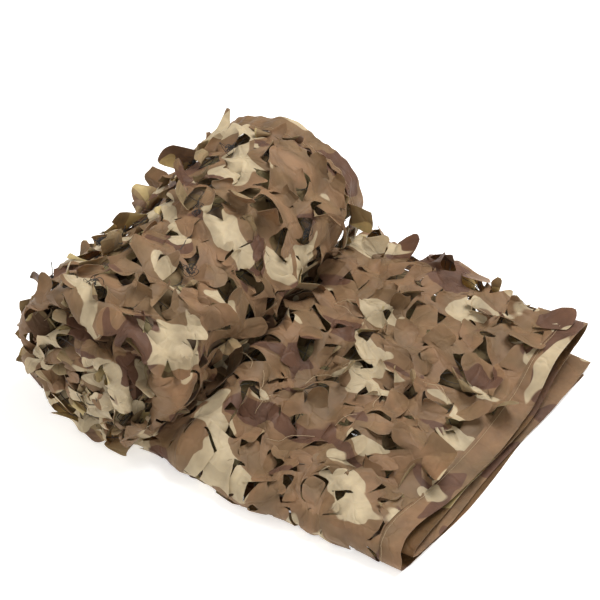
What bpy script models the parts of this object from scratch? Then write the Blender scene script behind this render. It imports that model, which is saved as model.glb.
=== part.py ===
"""Camouflage netting, folded in four along its length and rolled up, with a flat tail left unrolled.

Units are metres, +Z is up. The origin is on the floor under the roll's axis. +X runs along the tail to the
netting's bound end, and +Y along the roll's axis to the side where the netting's two long edges lie.

The folded strip is one back-and-forth section. Counted from the floor, layer 1 joins layer 4 round the wide fold at
-Y, layer 4 joins layer 3 at +Y, and layer 3 joins layer 2 round the narrow fold inside the wide one. The free edges
of layers 1 and 2 lie at +Y, and each has a sewn binding.

A surface here is a function of two parameters: a counts half-cells round the roll or along the folded section, and b
counts them along the roll's axis or along the tail. Its outward side is to the right of a, seen along b.
"""

import math
from collections import namedtuple

import bpy
import numpy as np

# Driving dimensions
NET_WIDTH = 2.0  # across the netting, before it is folded
STRIP_WIDTH = NET_WIDTH / 4
CLOTH = 0.002
BINDING = 0.034
PIECE_GAP = 0.0003

ROLL_RADIUS = 0.118
FOOT_X = 0.088  # where the tail leaves the roll
FOOT_HEIGHT = 0.036
FLOOR_X = -0.035  # where the roll's left side lifts off the floor
ROLL_NEAR_Y = -STRIP_WIDTH / 2 + 0.010
ROLL_FAR_Y = STRIP_WIDTH / 2
ROLL_CLOTH_Y = ROLL_FAR_Y - BINDING  # the bound edge of the outer turn starts here
TURN_PITCH = 0.024  # four layers of cloth, loosely wound
TURN_RIDGE = 0.004
END_BULGE = 0.026  # how far the folds at the near end puff out past the rim

TAIL_END_X = 0.505
TAIL_CLOTH_X = TAIL_END_X - BINDING
END_DRAWN = 0.018  # how much shorter the tail is at -Y than at +Y
NEAR_BOW = 0.007  # how far the wide fold bows out past the strip's edge
LOWER_Y, INNER_Y = 0.184, 0.208  # where the cloth of layers 1 and 2 meets its binding

# Cut leaves
ROUND_CELLS = 9
ALONG_CELLS = 7
TAIL_CELLS = 6
POCKET_DEPTH = 0.007
SEED = 11

# The wound form's lumps: where round the roll (degrees from +X, up over the top), where along it, how far each
# spreads, and how high it stands.
Lump = namedtuple("Lump", "angle y spread_angle spread_y height")
ROLL_LUMPS = (
    Lump(angle=40, y=0.20, spread_angle=40, spread_y=0.10, height=0.007),
    Lump(angle=95, y=0.26, spread_angle=40, spread_y=0.09, height=-0.016),
    Lump(angle=5, y=0.25, spread_angle=35, spread_y=0.11, height=0.010),
    Lump(angle=120, y=0.17, spread_angle=30, spread_y=0.09, height=-0.006),
    Lump(angle=110, y=-0.02, spread_angle=30, spread_y=0.06, height=-0.006),
    Lump(angle=60, y=-0.12, spread_angle=30, spread_y=0.07, height=0.006),
    Lump(angle=180, y=-0.22, spread_angle=60, spread_y=0.12, height=0.018),
    Lump(angle=20, y=0.03, spread_angle=25, spread_y=0.08, height=0.005),
    Lump(angle=215, y=0.02, spread_angle=25, spread_y=0.12, height=0.005),
)

# The folded section, one row for each place on it from the free edge of layer 1 to that of layer 2: the distance
# across, the height beside the roll, how much of the top layer's swell the place follows, how far the tail's end is set
# back there, and the half-cells from the row before.
Place = namedtuple("Place", "y z swell back steps")
SECTION = (
    Place(y=LOWER_Y + BINDING, z=0.0010, swell=0.0, back=-0.018, steps=0),
    Place(y=LOWER_Y, z=0.0010, swell=0.0, back=-0.017, steps=1),
    Place(y=-0.225, z=0.0010, swell=0.0, back=-0.006, steps=2 * ALONG_CELLS),
    Place(y=-0.243, z=0.0040, swell=0.05, back=-0.004, steps=1),
    Place(y=-0.250, z=0.0160, swell=0.4, back=0.000, steps=1),
    Place(y=-0.243, z=0.0290, swell=0.9, back=0.004, steps=1),
    Place(y=-0.222, z=0.0330, swell=1.0, back=0.006, steps=1),
    Place(y=0.232, z=0.0330, swell=1.0, back=-0.006, steps=2 * ALONG_CELLS),
    Place(y=0.250, z=0.0310, swell=0.9, back=-0.006, steps=1),
    Place(y=0.253, z=0.0270, swell=0.6, back=-0.005, steps=1),
    Place(y=0.240, z=0.0230, swell=0.4, back=-0.003, steps=1),
    Place(y=-0.215, z=0.0205, swell=0.3, back=0.000, steps=2 * ALONG_CELLS),
    Place(y=-0.227, z=0.0160, swell=0.2, back=-0.002, steps=1),
    Place(y=-0.215, z=0.0115, swell=0.1, back=-0.004, steps=1),
    Place(y=INNER_Y, z=0.0105, swell=0.0, back=-0.018, steps=2 * ALONG_CELLS),
    Place(y=INNER_Y + BINDING, z=0.0095, swell=0.0, back=-0.019, steps=1),
)
LEAFY_FROM, LEAFY_TO = 4, 9  # the rows that the leafy side runs between, from half way up the wide fold
HIDDEN_LAYERS = (1, 10, 13)

# The knotted cords that tie the cloth to its backing mesh, where their ends show: place round the roll and along it,
# in half-cells, the way that the cord runs, and the length of each free end.
Tie = namedtuple("Tie", "name a b turned free")
TIES = (
    Tie(name="tie_1", a=12, b=2, turned=35, free=0.030),
    Tie(name="tie_2", a=10, b=4, turned=-50, free=0.026),
    Tie(name="tie_3", a=12, b=12, turned=80, free=0.028),
)
TIE_CORD = 0.0016
TIE_KNOT = 0.0050

# The 8 border places of a cell, in half-cells from its middle, anticlockwise seen from outside
RING = ((-1, -1), (-1, 0), (-1, 1), (0, 1), (1, 1), (1, 0), (1, -1), (0, -1))

# A leaf's outline from its root to its tip: share of its length, share of its width
LEAF_OUTLINE = ((0.36, 0.95), (0.36, 1.0), (0.28, 0.45))
Leaf = namedtuple("Leaf", "root lift curl length width")


class Skin:
    """The points and faces of one closed solid, each face anticlockwise seen from outside."""

    def __init__(self):
        self.points = []
        self.faces = []

    def point(self, position):
        self.points.append(np.array(position, float))
        return len(self.points) - 1

    def loft(self, loops):
        """Joins loops of equal length one after the other."""
        for first, second in zip(loops, loops[1:]):
            for i, start in enumerate(first):
                j = (i + 1) % len(first)
                self.faces.append((start, first[j], second[j], second[i]))

    def to_object(self, name, material):
        mesh = bpy.data.meshes.new(name)
        mesh.from_pydata([tuple(point) for point in self.points], [], self.faces)
        mesh.materials.append(material)
        part = bpy.data.objects.new(name, mesh)
        bpy.context.scene.collection.objects.link(part)


def principled(name, colour, roughness):
    material = bpy.data.materials.new(name)
    material.use_nodes = True
    shader = material.node_tree.nodes["Principled BSDF"]
    shader.inputs["Base Color"].default_value = (*colour, 1.0)
    shader.inputs["Roughness"].default_value = roughness
    shader.inputs["Metallic"].default_value = 0.0
    return material


def unit(vector):
    return vector / np.linalg.norm(vector)


def normal(surface, a, b):
    """The outward normal of a surface at (a, b), from short steps along both parameters."""
    step = 0.02
    along_a = surface(a + step, b) - surface(a - step, b)
    along_b = surface(a, b + step) - surface(a, b - step)
    return unit(np.cross(along_b, along_a))


def grow_leaf(skin, root, inward, outward, leaf):
    """Lofts a leaf from the 4 points of its root. It leans outward by leaf.lift and bends on by leaf.curl."""
    corners = [skin.points[i] for i in root]
    side = unit(corners[1] - corners[0])
    inward = unit(inward - side * np.dot(inward, side))
    position = (corners[0] + corners[1]) / 2
    loops = [root]
    for share, width in LEAF_OUTLINE:
        lean = math.radians(leaf.lift + leaf.curl * (len(loops) - 1))
        along = inward * math.cos(lean) + outward * math.sin(lean)
        low = (outward * math.cos(lean) - inward * math.sin(lean)) * CLOTH
        position = position + along * leaf.length * share
        half = side * leaf.width * width / 2
        places = (position - half, position + half, position + half - low, position - half - low)
        loops.append([skin.point(place) for place in places])
    skin.loft(loops)
    skin.faces.append(tuple(loops[-1]))


def cut_cell(skin, surface, middle, upper, lower, leaf, rng):
    """One cell of the cut cloth: its web, its gap, and the leaf that stands up from one side of the gap.

    upper and lower are the cell's border points on the cloth's two sides. The roll's cells have no lower points: there
    the gap is a pocket down to the turn below.
    """
    a, b = middle
    rim, under = [], []
    for da, db in RING:
        reach = rng.uniform(0.46, 0.62) if da and db else rng.uniform(0.52, 0.74)
        place = (a + da * reach, b + db * reach)
        outward = normal(surface, *place)
        position = surface(*place)
        rim.append(skin.point(position + outward * (CLOTH / 2 if lower else 0)))
        under.append(skin.point(position - outward * (CLOTH / 2 if lower else POCKET_DEPTH)))
    for i in range(8):
        j = (i + 1) % 8
        skin.faces.append((upper[i], upper[j], rim[j], rim[i]))
        if lower:
            skin.faces.append((lower[j], lower[i], under[i], under[j]))
        if leaf is None or i != leaf.root:
            skin.faces.append((rim[i], rim[j], under[j], under[i]))
    if not lower:
        skin.faces.append(tuple(under))
    if leaf is not None:
        i, j = leaf.root, (leaf.root + 1) % 8
        inward = surface(a, b) - (skin.points[rim[i]] + skin.points[rim[j]]) / 2
        grow_leaf(skin, [rim[i], rim[j], under[j], under[i]], inward, normal(surface, a, b), leaf)


# The roll


def roll_radius(angle, y):
    radius = ROLL_RADIUS + 0.004 * math.sin(angle * 3.0 + y * 21.0) * math.cos(y * 34.0 + angle)
    for lump in ROLL_LUMPS:
        turned = (math.degrees(angle) - lump.angle + 180.0) % 360.0 - 180.0
        away = (turned / lump.spread_angle) ** 2 + ((y - lump.y) / lump.spread_y) ** 2
        radius += lump.height * math.exp(-away)
    return radius


def roll_outline(a, y):
    """(x, z) of the roll's outline from the foot's top, round the right side and over the roll, to the floor."""
    low = math.atan2(FOOT_HEIGHT - ROLL_RADIUS, FOOT_X)
    high = math.atan2(-ROLL_RADIUS, FLOOR_X) + 2 * math.pi
    angle = low + (high - low) * a / (2 * ROUND_CELLS)
    radius = roll_radius(angle, y)
    x, z = radius * math.cos(angle), ROLL_RADIUS + radius * math.sin(angle)
    # The outline's two ends are drawn onto the foot and onto the floor.
    to_foot = max(0.0, 1.0 - a / 2.0)
    to_floor = max(0.0, 1.0 - (2 * ROUND_CELLS - a) / 2.0)
    x += (FOOT_X - x) * to_foot + (FLOOR_X - x) * to_floor
    z += (FOOT_HEIGHT - z) * to_foot - z * to_floor
    return x, max(z, 0.0)


def roll_surface(a, b):
    y = ROLL_NEAR_Y + (ROLL_CLOTH_Y - ROLL_NEAR_Y) * b / (2 * ALONG_CELLS)
    x, z = roll_outline(a, y)
    return np.array((x, y, z))


def roll_leaf(cell, rng):
    """The leaf of one of the roll's cells. There is none in the crevice over the tail or down by the floor."""
    if cell in (0, ROUND_CELLS - 1):
        return None
    root, lift = int(rng.integers(0, 8)), rng.uniform(20, 55)
    if cell == 1:
        root, lift = 0, 15
    if cell == ROUND_CELLS - 2:
        root, lift = 4, 15
    return Leaf(root, lift, rng.uniform(-22, 10), rng.uniform(0.030, 0.046), rng.uniform(0.024, 0.034))


def drawn_in(skin, rim, hub, share):
    return [skin.point(hub + (skin.points[i] - hub) * share) for i in rim]


def roll_end(skin, rim, facing, bulge, leaf_every, rng):
    """An end of the roll, drawn in to its hub by rings that rise and fall with the wound turns.

    Every leaf_every-th place of a ring has a leaf that stands out from the end.
    """
    hub = np.array((0.0, skin.points[rim[0]][1], ROLL_RADIUS))
    out = np.array((0.0, facing, 0.0))
    rings = round(2 * ROLL_RADIUS / TURN_PITCH)
    loops = [rim]
    for ring in range(1, rings):
        share = 1.0 - ring / rings
        loop = drawn_in(skin, rim, hub, share)
        for count, i in enumerate(loop):
            ridge = TURN_RIDGE * (math.cos(2 * math.pi * (ring / 2 + count / len(loop))) - 1)
            skin.points[i] += out * (ridge + bulge * math.sqrt(1 - share**2))
        loops.append(loop)
    for ring, (first, second) in enumerate(zip(loops, loops[1:])):
        for i in range(len(rim)):
            j = (i + 1) % len(rim)
            quad = (first[i], first[j], second[j], second[i])
            low = skin.points[first[i]][2] < 0.05
            if low or ring > rings - 4 or (i + 2 * ring) % leaf_every:
                skin.faces.append(quad)
                continue
            leaf = Leaf(0, rng.uniform(60, 130), rng.uniform(-15, 15), rng.uniform(0.018, 0.030), 0.024)
            grow_leaf(skin, list(quad), hub - skin.points[first[i]], out, leaf)
    last = loops[-1]
    tip = skin.point(hub + out * (bulge - TURN_RIDGE))
    for i, start in enumerate(last):
        skin.faces.append((start, last[(i + 1) % len(last)], tip))


def make_roll(material):
    skin = Skin()
    rng = np.random.default_rng(SEED)
    columns, rows = range(2 * ROUND_CELLS + 1), range(2 * ALONG_CELLS + 1)
    grid = {(a, b): skin.point(roll_surface(a, b)) for a in columns for b in rows}
    for cell in range(ROUND_CELLS):
        for row in range(ALONG_CELLS):
            a, b = 2 * cell + 1, 2 * row + 1
            border = [grid[a + da, b + db] for da, db in RING]
            cut_cell(skin, roll_surface, (a, b), border, None, roll_leaf(cell, rng), rng)
    # The flat spot on the floor and the foot's upright face
    under = [[grid[2 * ROUND_CELLS, b] for b in rows]]
    for x in ((FLOOR_X + FOOT_X) / 2, FOOT_X):
        under.append([skin.point((x, roll_surface(0, b)[1], 0.0)) for b in rows])
    under.append([grid[0, b] for b in rows])
    for first, second in zip(under, under[1:]):
        for b in rows[:-1]:
            skin.faces.append((first[b], first[b + 1], second[b + 1], second[b]))
    near, far = ([grid[a, b] for a in columns] + [under[1][b], under[2][b]] for b in (rows[0], rows[-1]))
    roll_end(skin, near, -1, END_BULGE, 5, rng)
    # Inside its bound edge the far end is one cloth and a gap smaller.
    far = far[::-1]
    inset = drawn_in(skin, far, np.array((0.0, ROLL_CLOTH_Y, ROLL_RADIUS)), 1 - (CLOTH + PIECE_GAP) / FOOT_HEIGHT)
    rim = [skin.point(skin.points[i] + np.array((0.0, BINDING, 0.0))) for i in inset]
    for i in inset + rim:
        skin.points[i][2] = max(skin.points[i][2], 0.0)
    skin.loft([far, inset, rim])
    roll_end(skin, rim, 1, 0.0, 7, rng)
    skin.to_object("roll", material)


# The tail


def section_places():
    """The section as (y, z, swell, back), one row for each half-cell, and where each row of SECTION lies in it."""
    places, starts = [SECTION[0][:4]], [0]
    for first, second in zip(SECTION, SECTION[1:]):
        for step in range(1, second.steps + 1):
            share = step / second.steps
            places.append([u + (v - u) * share for u, v in zip(first[:4], second[:4])])
        starts.append(len(places) - 1)
    return np.array(places), starts


PLACES, STARTS = section_places()


def swell(x, y):
    """How far the top layer stands over its height beside the roll: more past the roll and towards +Y."""
    past_roll = min(1.0, max(0.0, (x - FOOT_X) / (0.10 - 0.14 * max(y, 0.0))))
    lift = 0.014 + 0.034 * (0.5 + y / STRIP_WIDTH)
    waves = 0.0035 * math.sin(31.0 * x + 17.0 * y) + 0.003 * math.sin(23.0 * y - 44.0 * x + 1.3)
    return past_roll * (lift + waves)


def folded(a, x):
    """The folded section a half-cells along it, at a distance x along the tail."""
    low = min(max(int(a), 0), len(PLACES) - 2)
    y, z, follows, back = PLACES[low] + (PLACES[low + 1] - PLACES[low]) * (a - low)
    along = (x - FOOT_X) / (TAIL_END_X - FOOT_X)
    to_near = 0.5 - y / STRIP_WIDTH
    drawn = (END_DRAWN * to_near**2 + back) * along
    bowed = NEAR_BOW * max(0.0, to_near) ** 4 * math.sin(math.pi * along)
    return np.array((x - drawn, y - bowed, z + follows * swell(x, y)))


def tail_surface(a, b):
    start = FOOT_X + PIECE_GAP
    return folded(a, start + (TAIL_CLOTH_X - start) * b / (2 * TAIL_CELLS))


def cloth_sides(skin, surface, columns, rows, plane=(0.0, 1.0, 1.0)):
    """Both sides of a cloth as grids of points, each side half the cloth's thickness off the surface in one plane."""
    sides = ({}, {})
    for i, a in enumerate(columns):
        for j, b in enumerate(rows):
            outward = normal(surface, a, b) * plane
            for side, offset in zip(sides, (CLOTH / 2, -CLOTH / 2)):
                side[i, j] = skin.point(surface(a, b) + unit(outward) * offset)
    return sides


def close_border(skin, upper, lower, columns, rows):
    """Joins a cloth's two sides all round."""
    ring = [(0, j) for j in range(rows)] + [(i, rows) for i in range(columns)]
    ring += [(columns, j) for j in range(rows, 0, -1)] + [(i, 0) for i in range(columns, 0, -1)]
    for first, second in zip(ring, ring[1:] + ring[:1]):
        skin.faces.append((upper[second], upper[first], lower[first], lower[second]))


def plain_quads(skin, upper, lower, columns, rows, left_out=()):
    for i in range(columns):
        for j in range(rows):
            if (i, j) not in left_out:
                corners = ((i, j), (i, j + 1), (i + 1, j + 1), (i + 1, j))
                skin.faces.append(tuple(upper[corner] for corner in corners))
                skin.faces.append(tuple(lower[corner] for corner in corners[::-1]))


def wide_gap(skin, upper, lower, i, j):
    """Cuts a rounded gap two quads wide round (i, j) in a hidden layer, and gives the quads that it takes away."""
    ring = [(i + di, j + dj) for di, dj in RING]
    for first, second in zip(ring, ring[1:] + ring[:1]):
        skin.faces.append((upper[first], upper[second], lower[second], lower[first]))
    for corner in ring[::2]:
        for side in (upper, lower):
            skin.points[side[corner]] += (skin.points[side[i, j]] - skin.points[side[corner]]) * 0.25
    return {(i + di, j + dj) for di in (-1, 0) for dj in (-1, 0)}


def tail_leaf(cell, row, last_cell, rng):
    """The leaf of one of the leafy side's cells. Those by the roll lie low and point away from it."""
    root, lift, length = int(rng.integers(0, 8)), rng.uniform(12, 42), rng.uniform(0.032, 0.046)
    if row == 0 or (row == 1 and cell in (0, last_cell)):
        return None
    if row == 1:
        root, lift = 7, 10
    elif cell == 0:
        root, lift, length = 4, rng.uniform(50, 75), 0.020
    elif cell == last_cell:
        root, lift = int(rng.integers(3, 6)), rng.uniform(20, 60)
    return Leaf(root, lift, rng.uniform(-16, 6), length, rng.uniform(0.024, 0.034))


def make_tail(material):
    skin = Skin()
    rng = np.random.default_rng(SEED + 1)
    first, last = STARTS[1], STARTS[-2]
    gap = PIECE_GAP / BINDING
    places = [first + gap, *range(first + 1, last), last - gap]
    columns, rows = last - first, 2 * TAIL_CELLS
    upper, lower = cloth_sides(skin, tail_surface, places, range(rows + 1))
    cut = set()
    leafy_cells = (STARTS[LEAFY_TO] - STARTS[LEAFY_FROM]) // 2
    for cell in range(leafy_cells):
        for row in range(TAIL_CELLS):
            i, j = STARTS[LEAFY_FROM] - first + 2 * cell + 1, 2 * row + 1
            ring = [(i + di, j + dj) for di, dj in RING]
            sides = [[side[corner] for corner in ring] for side in (upper, lower)]
            leaf = tail_leaf(cell, row, leafy_cells - 1, rng)
            cut_cell(skin, tail_surface, (i + first, j), *sides, leaf, rng)
            cut |= {(i + di, j + dj) for di in (-1, 0) for dj in (-1, 0)}
    for layer in HIDDEN_LAYERS:
        for cell in range(ALONG_CELLS // 2):
            for row in range(TAIL_CELLS // 2):
                cut |= wide_gap(skin, upper, lower, STARTS[layer] - first + 4 * cell + 2, 4 * row + 2)
    plain_quads(skin, upper, lower, columns, rows, cut)
    close_border(skin, upper, lower, columns, rows)
    skin.to_object("tail", material)


# The sewn bindings


def make_band(name, surface, places, rows, material, plane=(0.0, 1.0, 1.0)):
    """A plain band of cloth along a surface, between its first and last places both ways."""
    skin = Skin()
    upper, lower = cloth_sides(skin, surface, places, rows, plane)
    plain_quads(skin, upper, lower, len(places) - 1, len(rows) - 1)
    close_border(skin, upper, lower, len(places) - 1, len(rows) - 1)
    skin.to_object(name, material)


def roll_edge(a, y):
    """The middle of the binding round the roll's far end, whose outer side is level with the roll."""
    x, z = roll_outline(a, ROLL_CLOTH_Y)
    hub = np.array((0.0, y, ROLL_RADIUS))
    out = np.array((x, y, z)) - hub
    return hub + out - unit(out) * CLOTH / 2


def make_bindings(material):
    last = len(PLACES) - 1
    make_band("end_binding", folded, range(last + 1), (TAIL_CLOTH_X + PIECE_GAP, TAIL_END_X), material)
    sides = np.linspace(FOOT_X + PIECE_GAP, TAIL_CLOTH_X, TAIL_CELLS + 1)
    make_band("side_binding_lower", folded, (0, 1), sides, material)
    make_band("side_binding_inner", folded, (last - 1, last), sides, material)
    rims = (ROLL_CLOTH_Y + PIECE_GAP, ROLL_FAR_Y)
    make_band("roll_binding", roll_edge, range(2 * ROUND_CELLS), rims, material, plane=(1.0, 0.0, 1.0))


# The ties


def make_tie(tie, material):
    """A square cord with a knot in its middle, lying on the roll with its two ends standing free."""
    skin = Skin()
    outward = normal(roll_surface, tie.a, tie.b)
    along = unit(roll_surface(tie.a, tie.b + 0.1) - roll_surface(tie.a, tie.b - 0.1))
    across = np.cross(outward, along)
    turned = math.radians(tie.turned)
    way = along * math.cos(turned) + across * math.sin(turned)
    side = np.cross(outward, way)
    knot = roll_surface(tie.a, tie.b) + outward * (TIE_KNOT / 2 + 2 * PIECE_GAP)
    # share of the free end along the cord, height over the knot as a share of the free end, thickness
    stations = (
        (-1.0, 0.55, TIE_CORD), (-0.5, 0.20, TIE_CORD), (-0.1, 0.02, TIE_CORD), (-0.07, 0.0, TIE_KNOT),
        (0.07, 0.0, TIE_KNOT), (0.1, 0.02, TIE_CORD), (0.55, 0.30, TIE_CORD), (0.9, 0.75, TIE_CORD),
    )
    loops = []
    for share, height, thick in stations:
        middle = knot + (way * share + outward * height) * tie.free
        half_side, half_up = side * thick / 2, outward * thick / 2
        places = (middle - half_side - half_up, middle + half_side - half_up,
                  middle + half_side + half_up, middle - half_side + half_up)
        loops.append([skin.point(place) for place in places])
    skin.loft(loops)
    skin.faces.append(tuple(loops[0][::-1]))
    skin.faces.append(tuple(loops[-1]))
    skin.to_object(tie.name, material)


def main():
    for thing in list(bpy.data.objects):
        bpy.data.objects.remove(thing)
    cloth = principled("camouflage_cloth", (0.26, 0.16, 0.10), 0.75)
    tape = principled("camouflage_tape", (0.28, 0.18, 0.12), 0.70)
    cord = principled("black_cord", (0.02, 0.02, 0.02), 0.60)
    make_roll(cloth)
    make_tail(cloth)
    make_bindings(tape)
    for tie in TIES:
        make_tie(tie, cord)


main()
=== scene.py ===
"""Camouflage netting, folded in four along its length and rolled up, with a flat tail.

Lengths are metres and +Z is up. The cloth is worked out flat first, as a sheet of cells with a hole in each
and the leaves that were cut out of it, and then laid on a surface: round the roll, over its two ends, or
along the tail's folded section. A surface here is a function of p, along the strip, and q, across it, in
metres of cloth.
"""

import math
from collections import namedtuple

import bpy
import numpy as np
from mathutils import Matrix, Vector


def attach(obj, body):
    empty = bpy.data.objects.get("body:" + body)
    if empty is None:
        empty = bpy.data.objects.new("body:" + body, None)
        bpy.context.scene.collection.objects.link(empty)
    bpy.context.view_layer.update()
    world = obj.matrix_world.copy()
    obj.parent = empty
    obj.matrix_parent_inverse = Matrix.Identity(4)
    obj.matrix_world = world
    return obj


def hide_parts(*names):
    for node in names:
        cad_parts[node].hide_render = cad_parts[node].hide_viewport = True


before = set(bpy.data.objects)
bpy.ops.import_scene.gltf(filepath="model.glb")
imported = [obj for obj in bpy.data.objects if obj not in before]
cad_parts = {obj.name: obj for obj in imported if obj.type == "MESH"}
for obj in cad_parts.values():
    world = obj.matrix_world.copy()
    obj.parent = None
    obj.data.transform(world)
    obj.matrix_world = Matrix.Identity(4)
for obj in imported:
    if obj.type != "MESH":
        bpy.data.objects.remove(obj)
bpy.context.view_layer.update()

# Dimensions shared with the part's source
STRIP_WIDTH = 0.5
BINDING = 0.034
ROLL_RADIUS = 0.118
FOOT_X, FOOT_HEIGHT, FLOOR_X = 0.088, 0.036, -0.035
ROLL_NEAR_Y, ROLL_FAR_Y = -0.24, 0.25
ROLL_CLOTH_Y = ROLL_FAR_Y - BINDING
TURN_PITCH = 0.024
END_BULGE = 0.026
TAIL_END_X = 0.505
TAIL_CLOTH_X = TAIL_END_X - BINDING
END_DRAWN = 0.018
NEAR_BOW = 0.007
LOWER_Y, INNER_Y = 0.184, 0.208
ROUND_CELLS, ALONG_CELLS = 9, 7

# The look of the cloth
CLOTH, BAND_CLOTH = 0.0005, 0.0012
STRING_RADIUS, STRING_PITCH = 0.0006, 0.033
THREAD_RADIUS, SEAM_RADIUS, KNOT_RADIUS = 0.00045, 0.00035, 0.0005
CORD_SIDES = 4
LEAST_HEIGHT, LEAST_CORD_HEIGHT = 0.0006, 0.0003  # nothing goes lower than this over the floor
PRESSED_LOW = np.array((-0.168, -0.282, 0.0))  # past this box the loose leaves are pressed in
PRESSED_HIGH = np.array((1.0, 1.0, 0.266))

Lump = namedtuple("Lump", "angle y spread_angle spread_y height")
ROLL_LUMPS = (
    Lump(angle=40, y=0.20, spread_angle=40, spread_y=0.10, height=0.007),
    Lump(angle=95, y=0.26, spread_angle=40, spread_y=0.09, height=-0.016),
    Lump(angle=5, y=0.25, spread_angle=35, spread_y=0.11, height=0.010),
    Lump(angle=120, y=0.17, spread_angle=30, spread_y=0.09, height=-0.006),
    Lump(angle=110, y=-0.02, spread_angle=30, spread_y=0.06, height=-0.006),
    Lump(angle=60, y=-0.12, spread_angle=30, spread_y=0.07, height=0.006),
    Lump(angle=180, y=-0.22, spread_angle=60, spread_y=0.12, height=0.018),
    Lump(angle=20, y=0.03, spread_angle=25, spread_y=0.08, height=0.005),
    Lump(angle=215, y=0.02, spread_angle=25, spread_y=0.12, height=0.005),
)

# The folded section from the free edge of layer 1, on the floor, to that of layer 2
Place = namedtuple("Place", "y z swell back")
SECTION = (
    Place(y=LOWER_Y + BINDING, z=0.0010, swell=0.0, back=-0.018),
    Place(y=LOWER_Y, z=0.0010, swell=0.0, back=-0.017),
    Place(y=-0.225, z=0.0010, swell=0.0, back=-0.006),
    Place(y=-0.243, z=0.0040, swell=0.05, back=-0.004),
    Place(y=-0.250, z=0.0160, swell=0.4, back=0.000),
    Place(y=-0.243, z=0.0290, swell=0.9, back=0.004),
    Place(y=-0.222, z=0.0330, swell=1.0, back=0.006),
    Place(y=0.232, z=0.0330, swell=1.0, back=-0.006),
    Place(y=0.250, z=0.0310, swell=0.9, back=-0.006),
    Place(y=0.253, z=0.0270, swell=0.6, back=-0.005),
    Place(y=0.240, z=0.0230, swell=0.4, back=-0.003),
    Place(y=-0.215, z=0.0205, swell=0.3, back=0.000),
    Place(y=-0.227, z=0.0160, swell=0.2, back=-0.002),
    Place(y=-0.215, z=0.0115, swell=0.1, back=-0.004),
    Place(y=INNER_Y, z=0.0105, swell=0.0, back=-0.018),
    Place(y=INNER_Y + BINDING, z=0.0095, swell=0.0, back=-0.019),
)

FOOT_ANGLE = math.atan2(FOOT_HEIGHT - ROLL_RADIUS, FOOT_X)
FLOOR_ANGLE = math.atan2(-ROLL_RADIUS, FLOOR_X) + 2 * math.pi
ROUND_LENGTH = ROLL_RADIUS * (FLOOR_ANGLE - FOOT_ANGLE)


def unit(vectors):
    return vectors / np.maximum(np.linalg.norm(vectors, axis=-1, keepdims=True), 1e-9)


def turned_to(first, second, angle):
    """The first way, turned towards the second by an angle."""
    return first * np.cos(angle) + second * np.sin(angle)


def ease(low, high, value):
    """0 below low, 1 above high, and a smooth S between them."""
    share = np.clip((value - low) / (high - low), 0.0, 1.0)
    return share * share * (3 - 2 * share)


def settled(points):
    """The points with a third of what is past the box kept, and what is under the floor raised to it."""
    past = np.minimum(points - PRESSED_LOW, 0.0) + np.maximum(points - PRESSED_HIGH, 0.0)
    points = np.clip(points, PRESSED_LOW, PRESSED_HIGH) + past / 3
    points[:, 2] = np.maximum(points[:, 2], LEAST_HEIGHT)
    return points


def outward(surface, p, q):
    """The side that a surface faces: the direction of its p steps crossed with that of its q steps."""
    step = 0.0015
    along_p = surface(p + step, q) - surface(p - step, q)
    along_q = surface(p, q + step) - surface(p, q - step)
    return unit(np.cross(along_p, along_q))


# The triangles' corners repeat after this many, and the cloth starts far enough in to have no corner below 0
CREASE_CORNERS, CREASE_START = 64, 200
SKEW, STRETCH = 0.577, 1.155  # turn a square grid into one of equal triangles


class Crumple:
    """Flat facets that meet in creases. The cloth is laid out in triangles, whose corners are moved by random
    amounts out of the cloth and along it, and a place between them moves by their mean, weighted by how near
    they are."""

    def __init__(self, seed, *facets, inward=0.5):
        rng = np.random.default_rng(seed)
        self.layers = [
            (
                facet,
                rng.uniform(0, math.pi),
                rng.uniform((-inward, -1, -1), 1, (CREASE_CORNERS, CREASE_CORNERS, 3)) * (facet / facets[0]),
            )
            for facet in facets
        ]

    def at(self, p, q):
        """(rise, shift along p and q) for a height of 1."""
        total = 0.0
        for facet, turn, corners in self.layers:
            u = (p * math.cos(turn) + q * math.sin(turn)) / facet
            v = (q * math.cos(turn) - p * math.sin(turn)) / facet
            u, v = u - SKEW * v + CREASE_START, STRETCH * v + CREASE_START
            i, j = np.floor(u).astype(int), np.floor(v).astype(int)
            a, b = (u - i)[..., None], (v - j)[..., None]
            i, j, upper = i % CREASE_CORNERS, j % CREASE_CORNERS, a + b > 1
            i2, j2 = (i + 1) % CREASE_CORNERS, (j + 1) % CREASE_CORNERS
            lower_mean = (1 - a - b) * corners[i, j] + a * corners[i2, j] + b * corners[i, j2]
            upper_mean = (a + b - 1) * corners[i2, j2] + (1 - b) * corners[i2, j] + (1 - a) * corners[i, j2]
            total = total + np.where(upper, upper_mean, lower_mean)
        return total[..., 0], total[..., 1:] * 0.9


# Surfaces: the radii of the folds, how deep the lower layers lie under the outer turn, and the heights of
# the slow forms in the roll and the tail

OUTER_FOLD, WIDE_FOLD = TURN_PITCH * 0.42, TURN_PITCH * 0.40
NARROW_FOLD, FAR_FOLD = TURN_PITCH * 0.16, TURN_PITCH * 0.2
SECOND_DEPTH, FOURTH_DEPTH = 0.014, 0.026
RIPPLE, HOLLOW, RIDGE = 0.004, 0.030, 0.020
LEAST_SWELL, MORE_SWELL = 0.014, 0.034
LAYERS_FROM = 0.08  # how far over the roll's foot the inner layers start
UNDER_BAND = 0.020  # how far under the edge band they reach


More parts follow.
